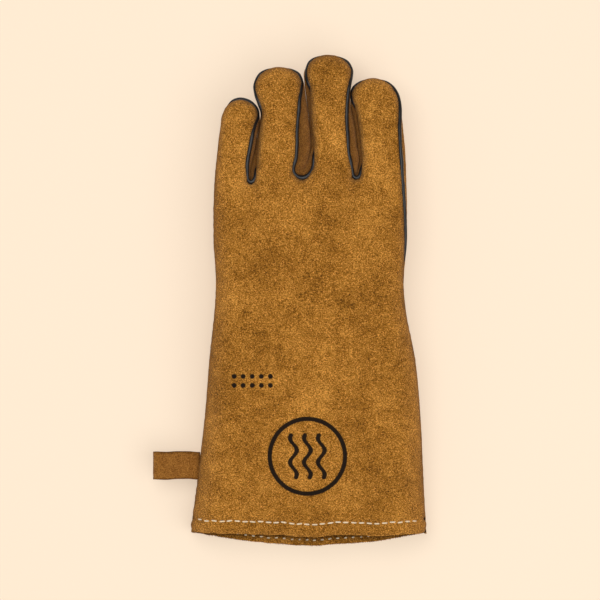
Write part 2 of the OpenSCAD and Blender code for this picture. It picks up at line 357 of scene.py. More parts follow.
def tip_arc(name, u, panel):
    """The rounded end of a finger between its corners."""
    finger = HANDS[name]
    left, right = lane_edges(name, np.array(finger.corner), panel)
    angle = math.radians(135) - math.radians(90) * u
    half = (right - left) / 2
    x = (left + right) / 2 + half * math.sqrt(2) * np.cos(angle)
    bow = (np.sin(angle) - math.sqrt(0.5)) / (1 - math.sqrt(0.5))
    return x, finger.corner + (finger.tip - finger.corner) * bow


def hem_line(x, panel):
    """Where the edge of a sheet lies at the cuff's mouth."""
    share = (x / HALF_MOUTH) ** 2
    ragged = 0.35 * lumps(x, 0 * x, 5, 3) + 0.9 * lumps(x, 0 * x + 7, 26, 4)
    if panel == "back":
        return BACK_HEM + 1.6 * share + 1.3 * ragged
    return PALM_HEM + 10 * share + 0.6 * ragged


def outline(panel):
    """The seam round a whole sheet as one line, from the cuff's left end to its right end."""
    parts = []
    for name in FINGERS:
        finger = HANDS[name]
        starts = [side.crotch[1] if side else -8 for side in (finger.left, finger.right)]
        up, down = (spaced(start, (start + 8, 0.15), (finger.corner, 0.5)) for start in starts)
        parts.append(np.column_stack([lane_edges(name, up, panel)[0], up]))
        parts.append(np.column_stack(tip_arc(name, np.linspace(0, 1, 60), panel)))
        parts.append(np.column_stack([lane_edges(name, down, panel)[1], down])[::-1])
    return np.vstack(parts)


BATCH = 2000  # points compared with the outline at a time


def to_outline(x, y, line):
    """Distance of each point from the line, and how far along the line its nearest place is."""
    steps = np.diff(line, axis=0)
    along = distances_along(line)
    flat = np.column_stack([np.ravel(x), np.ravel(y)])
    distance = np.empty(len(flat))
    place = np.empty(len(flat))
    for start in range(0, len(flat), BATCH):
        some = flat[start:start + BATCH]
        square = ((some[:, None, :] - line[None]) ** 2).sum(2)
        near = square.argmin(1)
        best = np.sqrt(square[np.arange(len(some)), near])
        for i in (np.clip(near - 1, 0, len(steps) - 1), np.clip(near, 0, len(steps) - 1)):
            step = steps[i]
            length = np.maximum((step ** 2).sum(1), 1e-9)
            t = np.clip(((some - line[i]) * step).sum(1) / length, 0, 1)
            best = np.minimum(best, np.hypot(*(some - line[i] - step * t[:, None]).T))
        distance[start:start + BATCH] = best
        place[start:start + BATCH] = along[near]
    return distance.reshape(np.shape(x)), place.reshape(np.shape(x))


# ---- Sheets ----

# Grids of points, of their normals and of their distances to the seam
Sheet = namedtuple("Sheet", "points normals seam")


def rows_of(sheet, kept):
    return Sheet(*(values[kept] for values in sheet))


def columns():
    """Places across a finger's lane from 0 to 1, closer together near its seams."""
    even = np.linspace(0, 1, LANE_COLUMNS + 1)
    return lerp(even, 0.5 - 0.5 * np.cos(math.pi * even), 0.65)


def lane_plan(name, rows, panel):
    """x, y and the offset of the seams' height, over the grid of a finger and of the stretch below it."""
    across = columns()
    u, y = np.meshgrid(across, rows)
    left, right = lane_edges(name, y, panel)
    y = with_hem(lerp(left, right, u), y, panel)
    left, right = lane_edges(name, y, panel)
    x = lerp(left, right, u)
    low, high = lane_offsets(name, y, panel)
    near_tip = smooth((y - HANDS[name].corner + 15) / 15)
    arc_x, arc_y = tip_arc(name, across, panel)
    y = y + near_tip * (arc_y - HANDS[name].corner)
    x = x + near_tip * (arc_x - lerp(arc_x[0], arc_x[-1], across))
    return x, y, lerp(low, high, u)


def with_hem(x, y, panel):
    """Moves rows near the mouth of the cuff along with its wavy edge."""
    return y + hem_line(x, panel) * (1 - smooth(y / HEM_FADE))


def crest(x, y, panel):
    """Height of the sheet away from its seams."""
    middle = (curve(EDGE_LEFT, y) + curve(EDGE_RIGHT, y)) / 2
    half = (curve(EDGE_RIGHT, y) - curve(EDGE_LEFT, y)) / 2
    slim = 1.2 * smooth((-37 - x) / 8) * smooth((y - 262) / 15)
    across = np.clip((x - middle) / half, -1, 1) ** 2
    if panel == "back":
        crown = 0.2 * (curve(TOP_Z, y) - curve(SEAM_Z, y)) * (1 - smooth((y - 225) / 45))
        return curve(TOP_Z, y) - crown * across - slim
    crown = 3 * smooth((y - 60) / 60) * (1 - smooth((y - 225) / 45))
    return curve(PALM_Z, y) + crown * across + slim


def valleys(x, y):
    """Soft hollows that run from each crotch down the back of the hand."""
    depth = 0
    for crotch_x, crotch_y in CROTCHES.values():
        fade = smooth((y - crotch_y + 42) / 38) * (1 - smooth((y - crotch_y) / 3))
        depth = depth + VALLEY * fade * hump(x - crotch_x, VALLEY_WIDTH)
    return depth


def relief(x, y, seam, place, panel):
    """Small rises and hollows of worn suede over its padding."""
    seed = 10 if panel == "back" else 40
    soft = smooth(seam / 6)
    height = sum(high * lumps(x, y, size, seed + i) for i, (high, size) in enumerate(PADDING)) * soft
    for i, (high, size) in enumerate(GRAIN, 2):
        height = height + high * lumps(x, y, size, seed + i)
    slant = y + 7 * lumps(x, y, 40, seed + 4)
    folds = np.sin(slant * 2 * math.pi / FOLD_PITCH) * np.maximum(0, lumps(x, y / 2, 24, seed + 5))
    height = height + FOLD * folds * hump(y - WRIST_Y, 30) * soft
    gather = np.sin(place * 2 * math.pi / GATHER_PITCH + 2 * lumps(place, 0 * place, 9, seed + 6))
    gather = 1.6 * gather * lumps(place, 0 * place + 9, 17, seed + 8)
    height = height + GATHER * gather * np.exp(-seam / 3)
    height = height + 0.4 * hump(seam - 3.6, 1.8)
    for name in FINGERS:
        bend_x, bend_y, _ = JOINTS[f"{name}_middle_joint"]
        crease = hump(y - bend_y - 1.5 * lumps(x, y, 9, seed + 7), CREASE_WIDTH)
        height = height - CREASE * crease * np.exp(-(((x - bend_x) / 14) ** 4)) * soft
    if panel == "back":
        return height - valleys(x, y) - hem_groove(x, y)
    highest = lerp(2.0, 0.3, smooth((y - 120) / 30))  # a soft ceiling keeps the palm off the thumb
    return highest - np.log1p(np.exp(4 * (highest - height))) / 4


def hem_groove(x, y):
    """The stitch line across the cuff presses into the suede, and the hem below it is plump."""
    above = y - hem_line(x, "back")
    pucker = 1 + 0.3 * np.sin(x * 2 * math.pi / STITCH_PITCH + 3 * lumps(x, 0 * x, 40, 6))
    plump = 0.8 * hump(above - 4.4, 2.6) + 0.35 * hump(above - 14, 3)
    curl = 0.9 * np.exp(-np.maximum(above, 0) / 1.1)
    return 0.8 * pucker * hump(above - BACK_STITCH_Y, 1.3) + curl - plump


def grid_normals(points, panel):
    """Directions square to a grid: up on a grid of the back, down on one of the palm side."""
    normal = unit(np.cross(np.gradient(points, axis=1), np.gradient(points, axis=0)))
    return normal if panel == "back" else -normal


def raise_sheet(x, y, offset, line, reach, panel):
    """Gives a plan grid its height over the outline, and its relief."""
    seam, place = to_outline(x, y, line)
    edge = curve(SEAM_Z, y) + offset
    z = edge + (crest(x, y, panel) - edge) * rounded(seam / reach)
    points = np.stack([x, y, z], axis=2)
    normals = grid_normals(points, panel)
    points = points + normals * relief(x, y, seam, place, panel)[..., None]
    if panel == "palm":
        points[..., 2] = np.maximum(points[..., 2], 0.05)  # not into the floor
    return Sheet(points, grid_normals(points, panel), seam)


def wrap_columns(sheet):
    """Carries the palm sheet up round the right side, to the piped seam of the back."""
    count = 7
    x, y, z = sheet.points[:, -1].T[..., None]
    seam_x = edge_right(y, "back")
    seam_z = curve(SEAM_Z, y) + right_offset(y, "back")
    angle = np.linspace(0, math.pi / 2, count + 1)[1:]
    extra = np.stack([seam_x + (x - seam_x) * np.cos(angle), np.repeat(y, count, 1),
                      z + (seam_z - z) * np.sin(angle)], 2)
    points = np.concatenate([sheet.points, extra], axis=1)
    seam = np.concatenate([sheet.seam, np.tile(np.linspace(3, 0, count), (len(y), 1))], axis=1)
    return Sheet(points, grid_normals(points, "palm"), seam)


def hand_rows():
    """Places of the grid's rows along the cuff and the hand."""
    return spaced(0, (12, 1), (CUFF_END, 1.6), (252, 1.5), (JOIN_Y, 1), (JOIN_Y + 2, 1))


def finger_cut(name):
    """Where the base part of a finger ends: this far before its middle joint."""
    return JOINTS[f"{name}_middle_joint"][1] - MIDDLE_REACH[name]


def halves(cut, first=0):
    """Rows of the base part and of the tip part, which share the row at the cut."""
    return ("base", slice(first, cut + 1)), ("tip", slice(cut, None))


def finger_rows(name):
    """Places of the grid's rows along a finger. The cut before its middle joint is one of them."""
    corner = HANDS[name].corner
    stops = (JOIN_Y, 1), (276, 0.6), (finger_cut(name), 1.2), (corner - 15, 1.3), (corner, 1)
    return spaced(JOIN_Y - 2, *stops)


def build_sheets(panel):
    """The hand and cuff sheet, and one sheet per finger that starts on the hand's last row."""
    line = outline(panel)
    rows = hand_rows()
    first, *others = [lane_plan(name, rows, panel) for name in FINGERS]
    x, y, offset = (np.hstack([first[k]] + [plan[k][:, 1:] for plan in others]) for k in range(3))
    reach = curve(ROUND, y)
    hand = raise_sheet(x, y, offset, line, reach, panel)
    if panel == "palm":
        hand = wrap_columns(hand)
    sheets = {"hand": hand}
    join = nearest(rows, JOIN_Y)
    for i, name in enumerate(FINGERS):
        rows_here = finger_rows(name)
        x, y, offset = lane_plan(name, rows_here, panel)
        settle = smooth((y - JOIN_Y) / 16)
        reach = lerp(curve(ROUND, y), HANDS[name].reach, settle)
        sheet = raise_sheet(x, y, offset, line, reach, panel)
        last = (i + 1) * LANE_COLUMNS + 1
        if panel == "palm" and name == "index":
            sheet = wrap_columns(sheet)
            last = hand.points.shape[1]
        here = nearest(rows_here, JOIN_Y)
        for mine, whole in zip(sheet, hand):
            mine[here] = whole[join, i * LANE_COLUMNS:last]
        sheets[name] = sheet
    close_below_crotches(sheets)
    return sheets


def close_below_crotches(sheets):
    """Neighbouring fingers share one edge as far as the crotch between them."""
    for left, right in zip(FINGERS, FINGERS[1:]):
        shared = finger_rows(left) <= CROTCHES[left][1]
        count = int(shared.sum())
        for one, other in zip(sheets[left][:2], sheets[right][:2]):
            one[:count, -1] = other[:count, 0] = (one[:count, -1] + other[:count, 0]) / 2


# ---- Side strips and seams ----

Seam = namedtuple("Seam", "rows upper lower outward bulge")


def side_seam(name, is_left):
    """The seams of one side of a finger from the crotch to its corner, and the bulge between them."""
    finger = HANDS[name]
    side = finger.left if is_left else finger.right
    gap = FINGERS[FINGERS.index(name) - 1] if is_left else name
    start = side.crotch[1]
    rows = spaced(start, (start + 3, 0.3), (278, 0.7), (finger_cut(name), 1.2), (finger.corner, 1.2))
    x = side_x(side, rows, "back")
    middle = curve(SEAM_Z, rows)
    upper, lower = (np.stack([x, rows, middle + side_offset(side, rows, finger.corner, panel)], 1)
                    for panel in ("back", "palm"))
    tangent = unit(np.gradient(upper[:, :2], axis=0))
    sign = -1 if is_left else 1
    outward = np.stack([sign * tangent[:, 1], -sign * tangent[:, 0], 0 * x], 1)
    hidden = tucked(side, rows)[:, None]
    upper = upper - hidden * (0.9 * outward + [0, 0, 0.9])
    first_bend = min(finger_cut(gap), finger_cut(FINGERS[FINGERS.index(gap) + 1]))
    clearance = lerp(0.06, -0.12, smooth((rows - first_bend) / 6))  # no light shows between fingertips
    room = sign * (curve(BOUNDARIES[gap], rows) - x) + clearance + 0.45 * hidden[:, 0]
    taper = 1 - smooth((rows - finger.corner + 9) / 9)
    sideways = sign * outward[:, 0]
    bulge = np.clip(room, 0.3, 12) / np.maximum(sideways, 0.35) * lerp(0.3, 1, taper)
    turned = int(np.argmax(sideways > 0.45))  # from here on the seam has left the crotch
    bulge[:turned] = bulge[turned]
    return Seam(rows, upper, lower, outward, bulge)


def strip_grid(seam, is_left):
    """The side strip of a finger between its two seams."""
    middle, half = (seam.upper + seam.lower) / 2, (seam.upper - seam.lower) / 2
    angle = np.linspace(0, math.pi, len(STRIP_SHADE_DISTANCE))
    swell = (np.sin(angle) ** 0.85)[:, None] * (seam.bulge[:, None] * seam.outward)[:, None]
    points = middle[:, None] + np.cos(angle)[:, None] * half[:, None] + swell
    soft = 0.06 * (1 + lumps(points[..., 1], points[..., 2], 7, 60)) * np.sin(angle)
    points = points + soft[..., None] * seam.outward[:, None]
    normals = grid_normals(points, "back")
    if is_left:
        normals = -normals
    return points, normals


# ---- Mesh making ----


FAR_OFF = 9.0  # a distance to the seam at which it no longer shades the suede


class Build:
    """Gathers points and faces of one piece, with normals where a sheet goes on in the next piece."""

    def __init__(self):
        self.points, self.normals, self.seam, self.faces, self.kept = [], [], [], [], []
        self.count = 0

    def add(self, points, faces, normals=None, seam=None, kept=None):
        """kept says for each face whether it shows the given normals."""
        points = np.reshape(points, (-1, 3))
        self.faces += [tuple(i + self.count for i in face) for face in faces]
        self.kept += kept if kept is not None else [False] * len(faces)
        self.points.append(points)
        self.normals.append(np.zeros_like(points) if normals is None else np.reshape(normals, (-1, 3)))
        self.seam.append(np.full(len(points), FAR_OFF) if seam is None else np.ravel(seam))
        self.count += len(points)


def quads(rows, cols, start=0, flip=False, closed=False):
    """The faces of a grid. A closed one joins its last column to its first."""
    faces = []
    for r in range(rows - 1):
        for c in range(cols if closed else cols - 1):
            a, b = start + r * cols + c, start + r * cols + (c + 1) % cols
            face = (a, b, b + cols, a + cols)
            faces.append(face[::-1] if flip else face)
    return faces


def border(rows, cols):
    """Indices round the rim of a grid, counterclockwise."""
    index = np.arange(rows * cols).reshape(rows, cols)
    sides = index[0], index[1:, -1], index[-1, -2::-1], index[-2:0:-1, 0]
    return np.concatenate(sides).tolist()


def add_sheet(build, points, normals, seam, thickness, flip=False, inner_seam=None):
    """A closed sheet: its outer grid, an inner grid one thickness below it, and the rim between them."""
    rows, cols = points.shape[:2]
    size = rows * cols
    inner = points - normals * thickness
    rim = border(rows, cols)
    walls = [(b, a, a + size, b + size) for a, b in zip(rim, rim[1:] + rim[:1])]
    faces = quads(rows, cols, 0, flip) + quads(rows, cols, size, not flip)
    kept = [True] * len(faces) + [False] * len(walls)
    faces += [wall[::-1] for wall in walls] if flip else walls
    seams = np.stack([seam, seam if inner_seam is None else inner_seam])
    build.add(np.stack([points, inner]), faces, np.stack([normals, -normals]), seams, kept)


def cord_rings(path, radius, sides=10):
    """Rings of points round a path."""
    path = np.asarray(path, float)
    radius = np.broadcast_to(radius, len(path))
    tangent = unit(np.gradient(path, axis=0))
    side = unit(np.cross(tangent, [0.12, 0.07, 1.0]))  # nearly upright, so it's never along the path
    over = np.cross(side, tangent)
    angle = full_turn(sides)
    ring = np.cos(angle)[:, None] * side[:, None] + np.sin(angle)[:, None] * over[:, None]
    return path[:, None] + ring * radius[:, None, None]


def add_cord(build, rings):
    """A round cord through rings of points, with closed ends."""
    count, sides = rings.shape[:2]
    faces = quads(count, sides, 0, True, closed=True)
    kept = [True] * len(faces) + [False, False]
    last = (count - 1) * sides
    faces += [tuple(range(sides)), tuple(last + i for i in range(sides))[::-1]]
    outward = unit(rings - rings.mean(1, keepdims=True))
    build.add(rings, faces, outward, None, kept)


def add_tube(build, path, radius, sides=10):
    """A round cord along a path."""
    add_cord(build, cord_rings(path, radius, sides))


def wobbly(path, seed):
    """A sewn cord is never quite even: its path and its thickness both vary a little."""
    along = distances_along(path)
    sway = [0.16 * lumps(along, 0 * along + k, 6, seed + k) for k in range(3)]
    return path + np.stack(sway, 1), 1 + 0.1 * lumps(along, 0 * along, 4, seed + 5)


def add_object(name, data):
    obj = bpy.data.objects.new(name, data)
    bpy.context.scene.collection.objects.link(obj)
    return obj


def make(build, name, material, replaced=None):
    """Makes an object of what was gathered. It stands for a CAD node, by default for its namesake."""
    points = np.concatenate(build.points)
    mesh = bpy.data.meshes.new(name)
    mesh.from_pydata((points * MM).tolist(), [], build.faces)
    mesh.polygons.foreach_set("use_smooth", [True] * len(mesh.polygons))
    rest = mesh.attributes.new("rest", "FLOAT_VECTOR", "POINT")
    rest.data.foreach_set("vector", points.astype(np.float32).ravel())
    seam = mesh.attributes.new("seam", "FLOAT", "POINT")
    seam.data.foreach_set("value", np.concatenate(build.seam).astype(np.float32))
    mesh.materials.append(material)
    if any(build.kept):
        normals = np.concatenate(build.normals)
        loops = [normals[i] if keep else (0, 0, 0)  # 0 leaves a corner's normal to Blender
                 for face, keep in zip(build.faces, build.kept) for i in face]
        mesh.normals_split_custom_set(np.array(loops, float).tolist())
    obj = add_object(name, mesh)
    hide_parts(replaced or name)
    return obj


def bend(obj, below, above, span):
    """Bakes a piece's place into its mesh; it neither follows the two bodies nor bends along the span."""
    start, end = (Vector((0, place, 0)) * MM for place in span)
    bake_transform(obj)


def attach_cuff_or_hand(obj, part):
    if part == "cuff":
        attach(obj, "cuff")
    else:
        bend(obj, "cuff", "hand", WRIST_SPAN)


def attach_finger(obj, name, part):
    if part == "base":
        bend(obj, "hand", f"{name}_base", KNUCKLE_SPAN)
    else:
        middle, cut = JOINTS[f"{name}_middle_joint"][1], finger_cut(name)
        bend(obj, f"{name}_base", f"{name}_tip", (cut, 2 * middle - cut))


# ---- Materials ----


class Nodes:
    """A short way to write a node tree."""

    def __init__(self, tree):
        self.tree = tree
        tree.nodes.clear()

    def put(self, socket, value):
        """Links a socket to another one, or sets its value. A colour gets its alpha here."""
        if isinstance(value, bpy.types.NodeSocket):
            self.tree.links.new(value, socket)
        else:
            socket.default_value = (*value, 1) if isinstance(value, tuple) else value

    def node(self, kind, inputs=(), **settings):
        """A new node with its inputs, by name or by number, and its settings."""
        node = self.tree.nodes.new(f"ShaderNode{kind}")
        for key, value in settings.items():
            setattr(node, key, value)
        for key, value in dict(inputs).items():
            self.put(node.inputs[key], value)
        return node

    def seen_by_camera(self):
        return self.node("LightPath").outputs["Is Camera Ray"]

    def mix_shaders(self, share, first, second):
        inputs = {0: share, 1: first.outputs[0], 2: second.outputs[0]}
        return self.node("MixShader", inputs).outputs[0]


class Paint(Nodes):
    """A material. Its noise and its print stay with a piece that moves or bends."""

    def __init__(self, name):
        self.material = bpy.data.materials.new(name)
        self.material.use_nodes = True
        super().__init__(self.material.node_tree)
        self.shader = self.node("BsdfPrincipled")
        self.output = self.node("OutputMaterial", {0: self.shader.outputs[0]})

    def attribute(self, name, output):
        return self.node("Attribute", attribute_name=name).outputs[output]

    def math(self, operation, *values):
        return self.node("Math", enumerate(values), operation=operation).outputs[0]

    def total(self, *terms):
        """The sum of values, each taken as many times as said."""
        parts = [self.math("MULTIPLY", value, times) for value, times in terms]
        return reduce(lambda a, b: self.math("ADD", a, b), parts)

    def noise(self, scale, detail=3.0, roughness=0.55, distortion=0.0):
        """Noise whose scale counts per millimetre."""
        inputs = {"Scale": scale, "Detail": detail, "Roughness": roughness, "Distortion": distortion}
        inputs["Vector"] = self.attribute("rest", "Vector")
        return self.node("TexNoise", inputs).outputs["Fac"]

    def spread(self, value, low, high, to_low=0.0, to_high=1.0):
        inputs = {"From Min": low, "From Max": high, "To Min": to_low, "To Max": to_high}
        return self.node("MapRange", {"Value": value, **inputs}).outputs["Result"]

    def mix(self, share, a, b, kind="MIX"):
        return self.node("Mix", {0: share, 6: a, 7: b}, data_type="RGBA", blend_type=kind).outputs[2]

    def distance(self, a, b):
        return self.math("SQRT", self.total((a, a), (b, b)))

    def band(self, value, middle, half):
        """1 where the value is within half of middle, with a soft edge."""
        away = self.math("ABSOLUTE", self.math("SUBTRACT", value, middle))
        return self.spread(away, half - 0.3, half + 0.3, 1, 0)

    def bump(self, height, strength, distance):
        node = self.node("Bump", {"Strength": strength, "Distance": distance, "Height": height})
        self.put(self.shader.inputs["Normal"], node.outputs[0])

    def finish(self, **inputs):
        for key, value in inputs.items():
            self.put(self.shader.inputs[key.replace("_", " ")], value)
        return self.material


def printed(paint):
    """A generic print on the cuff: a ring round three rising heat lines, and two rows of dots."""
    x, y, _ = paint.node("SeparateXYZ", {0: paint.attribute("rest", "Vector")}).outputs
    dx, dy = paint.math("SUBTRACT", x, EMBLEM[0]), paint.math("SUBTRACT", y, EMBLEM[1])
    ring = paint.band(paint.distance(dx, dy), EMBLEM_RADIUS, 1.6)
    inner = paint.math("MINIMUM", paint.math("MAXIMUM", dy, -15.0), 15.0)
    past_end = paint.math("SUBTRACT", dy, inner)
    sway = paint.math("MULTIPLY", paint.math("SINE", paint.math("MULTIPLY", inner, 0.36)), 2.4)
    lane = paint.math("ABSOLUTE", paint.math("SUBTRACT", dx, sway))
    outer_lane = paint.math("SUBTRACT", lane, 10.0)
    lines = [paint.band(paint.distance(across, past_end), 0, 1.7) for across in (lane, outer_lane)]
    lines = paint.math("MAXIMUM", *lines)
    shares = [paint.math("PINGPONG", paint.math("SUBTRACT", axis, first), DOT_PITCH / 2)
              for axis, first in ((x, DOTS[0]), (y, DOTS[1]))]
    dots = paint.spread(paint.distance(*shares), 1.5, 2.0, 1, 0)
    dots = paint.math("MULTIPLY", dots, paint.band(x, DOTS[0] + 2 * DOT_PITCH, 2.5 * DOT_PITCH))
    dots = paint.math("MULTIPLY", dots, paint.band(y, DOTS[1] + DOT_PITCH / 2, DOT_PITCH))
    return paint.math("MAXIMUM", paint.math("MAXIMUM", ring, lines), dots)


def suede(name, light, mid, dark, with_print=False, seam_shade=0.37):
    """Split suede: a short mottled nap, with painted shade towards its seams."""
    paint = Paint(name)
    clouds = paint.noise(0.03, 3, 0.6, 0.3)
    mottle = paint.noise(0.14, 4, 0.65, 0.5)
    nap = paint.noise(1.1, 4, 0.84, 0.2)
    fibre = paint.noise(3.6, 3, 0.7, 0.8)
    tone = paint.total((clouds, 0.42), (mottle, 0.38), (nap, 2.4), (fibre, 0.8))
    colour = paint.mix(paint.spread(tone, 1.65, 2.0), dark, mid)
    colour = paint.mix(paint.spread(tone, 2.0, 2.36), colour, light)
    # Painted shade: the colour darkens towards the seams and edges of every suede piece.
    seam = paint.attribute("seam", "Fac")
    # Painted shadow, where the distance is below 0: in the mouth of the cuff, under the back's edge.
    deep = paint.spread(seam, -2.5, 0.0, 0.85, 0)  # only in the mouth of the cuff
    shade = paint.math("MAXIMUM", paint.spread(seam, 0.1, 2.6, seam_shade, 0), deep)
    colour = paint.mix(shade, colour, tuple(c * 0.4 for c in dark))
    if with_print:
        worn = paint.math("MULTIPLY", printed(paint), paint.spread(nap, 0.25, 0.4, 0.75, 0.985))
        colour = paint.mix(worn, colour, (0.006, 0.004, 0.003))
    paint.bump(paint.total((mottle, 0.8), (nap, 1.6), (fibre, 0.8)), 0.75, 0.0009)
    return paint.finish(Base_Color=colour, Roughness=0.94, Specular_IOR_Level=0.12, Sheen_Weight=0.12,
                        Sheen_Roughness=0.45, Sheen_Tint=(1, 0.72, 0.42))


def coated_cord():
    """Black coated welt with fine grain and a soft shine."""
    paint = Paint("welt")
    grain = paint.noise(1.6, 3)
    wear_and_shade = paint.noise(0.12, 2)
    # Only wear here: a random tone of the black coat.
    colour = paint.mix(paint.spread(wear_and_shade, 0.45, 0.75), (0.004, 0.0035, 0.0035), (0.014, 0.012, 0.011))
    paint.bump(grain, 0.4, 0.0004)
    return paint.finish(Base_Color=colour, Roughness=paint.spread(grain, 0.3, 0.7, 0.26, 0.42),
                        Specular_IOR_Level=0.36)


def fleece():
    """Unbleached cotton fleece."""
    paint = Paint("fleece")
    tuft = paint.noise(0.55, 4, 0.7)
    fibre = paint.noise(2.2, 3, 0.7)
    colour = paint.mix(paint.spread(tuft, 0.35, 0.7), (0.5, 0.375, 0.215), (0.85, 0.7, 0.46))
    paint.bump(paint.math("ADD", tuft, paint.math("MULTIPLY", fibre, 0.6)), 0.8, 0.0012)
    return paint.finish(Base_Color=colour, Roughness=1.0, Sheen_Weight=0.3, Specular_IOR_Level=0.1)


def cotton_thread():
    """Thick cream thread with a fine twist."""
    paint = Paint("thread")
    twist = paint.noise(1.9, 2, 0.5, 1.5)
    colour = paint.mix(paint.spread(twist, 0.35, 0.65), (0.66, 0.5, 0.29), (0.98, 0.86, 0.62))
    paint.bump(twist, 0.6, 0.0004)
    return paint.finish(Base_Color=colour, Roughness=0.75, Sheen_Weight=0.2)


LIGHT, MID, DARK = (0.95, 0.44, 0.085), (0.35, 0.134, 0.0105), (0.045, 0.013, 0.001)
SUEDE = suede("suede", LIGHT, MID, DARK)
SUEDE_PRINTED = suede("suede_printed", LIGHT, MID, DARK, with_print=True)
SMOOTHER = (0.52, 0.23, 0.045), (0.285, 0.107, 0.016), (0.1, 0.031, 0.003)
# Its seams carry a stronger painted shade, as the side strips lie in the shadow between the fingers; the
# patch and the loop use it too.
SUEDE_SIDE = suede("suede_side", *SMOOTHER, seam_shade=0.6)
WELTING = coated_cord()
FLEECE = fleece()
THREAD = cotton_thread()


# ---- Pieces of the skin ----


def sheet_piece(name, sheet, panel):
    build = Build()
    add_sheet(build, *sheet, LEATHER, flip=panel == "palm")
    return make(build, name, SUEDE)


def add_fray(build, sheet, count, seed):
    """Loose fibres of suede along the raw edge at the cuff's mouth."""
    rng = np.random.default_rng(seed)
    width = sheet.points.shape[1]
    for place in rng.uniform(1, width - 2.01, count):
        low, share = int(place), place - int(place)
        root = lerp(sheet.points[0, low], sheet.points[0, low + 1], share)
        normal = sheet.normals[0, low]
        root = root - normal * rng.uniform(0.05, LEATHER - 0.05) + [0, 0.25, 0]
        length = rng.uniform(0.4, 1.3) * (0.7 + 0.5 * abs(lumps(place, 0.0, 6, seed + 1)))
        heading = unit(np.array([rng.uniform(-0.8, 0.8), -1, 0]) + normal * rng.uniform(-0.7, 0.5))
        curl = np.array([rng.uniform(-0.5, 0.5), 0.1, rng.uniform(-0.4, 0.4)])
        steps = np.array([0, 0.5, 1])[:, None]
        path = root + heading * length * steps + curl * length * steps ** 2
        path[:, 2] = np.maximum(path[:, 2], 0.15)
        add_tube(build, path, np.array([0.14, 0.1, 0.03]), 3)


def in_the_mouth(points):
    """Distance to the back's edge over the palm's inner face, for the shade in the mouth of the cuff."""
    return np.clip(1.4 * (hem_line(points[..., 0], "back") - 3.2 - points[..., 1]) - 2.5, -2.5, 9)


def make_cuff(hand, split, panel):
    """The cuff's part of a sheet, with its raw edge."""
    on_back = panel == "back"
    rows = rows_of(hand, slice(0, split + 1))
    build = Build()
    # The palm's inner face gets a painted shadow in the mouth of the cuff, under the back's edge.
    inside = None if on_back else in_the_mouth(rows.points)
    add_sheet(build, *rows, LEATHER, flip=not on_back, inner_seam=inside)
    add_fray(build, hand, *FRAY[panel])
    return make(build, f"cuff_{panel}", SUEDE_PRINTED if on_back else SUEDE)


def make_panels(panel):
    """The pieces of the whole back or of the whole palm side."""
    sheets = build_sheets(panel)
    rows, hand = hand_rows(), sheets["hand"]
    split, join = nearest(rows, CUFF_END), nearest(rows, JOIN_Y)
    attach_cuff_or_hand(make_cuff(hand, split, panel), "cuff")
    middle = rows_of(hand, slice(split, join + 1))
    attach_cuff_or_hand(sheet_piece(f"hand_{panel}", middle, panel), "hand")
    for name in FINGERS:
        rows_here = finger_rows(name)
        first, cut = nearest(rows_here, JOIN_Y), nearest(rows_here, finger_cut(name))
        for part, kept in halves(cut, first):
            piece = sheet_piece(f"{name}_{panel}_{part}", rows_of(sheets[name], kept), panel)
            attach_finger(piece, name, part)
    return sheets


# Distance to a seam across a side strip, which its colour follows: painted shade, darkest at both seams
STRIP_SHADE_DISTANCE = [0, 0.6, 1.2, 1.9, 2.6, 3, 3, 3, 2.6, 1.9, 1.2, 0.6, 0]


def make_sidewalls():
    for name in FINGERS:
        builds = {"base": Build(), "tip": Build()}
        for is_left in (True, False):
            if not (HANDS[name].left if is_left else HANDS[name].right):
                continue
            seam = side_seam(name, is_left)
            points, normals = strip_grid(seam, is_left)
            # Painted shade across each side strip, darkest at its two seams.
            wear_and_shade = np.tile(STRIP_SHADE_DISTANCE, (len(seam.rows), 1))
            for part, kept in halves(nearest(seam.rows, finger_cut(name))):
                add_sheet(builds[part], points[kept], normals[kept], wear_and_shade[kept], STRIP, flip=is_left)
        for part, build in builds.items():
            attach_finger(make(build, f"{name}_sidewalls_{part}", SUEDE_SIDE), name, part)


def with_end(name, path, is_left):
    """Carries a welt on over the finger's end, where it sinks into the seam.

    The little finger's goes nearly all round, the others' nearly as far as the middle.
    """
    reach = 0.95 if name == "little" else 0.42
    share = np.linspace(0, 1, 34 if name == "little" else 16)
    along = reach * share if is_left else 1 - reach * share
    x, y = tip_arc(name, along, "back")
    start_x, start_y = tip_arc(name, along[:1], "back")
    sink = smooth((share - 0.72) / 0.28) if name == "little" else share
    rise = lerp(path[-1, 2] - curve(SEAM_Z, path[-1, 1]), 0.4, smooth(share * 4)) - 1.6 * sink
    end = np.stack([x, y - 1.1 * sink ** 2, curve(SEAM_Z, y) + rise], 1)
    end[:, :2] += (path[-1, :2] - [start_x[0], start_y[0]]) * (1 - smooth(share * 3))[:, None]
    radius = WELT * lerp(1, 0.3, sink)
    return np.concatenate([path, end[1:]]), np.concatenate([np.full(len(path), WELT), radius[1:]])


def softened(values):
    """Rounds the corners of a path."""
    for _ in range(5):
        between = (values[:-2] + 2 * values[1:-1] + values[2:]) / 4
        values = np.concatenate([values[:1], between, values[-1:]])
    return values


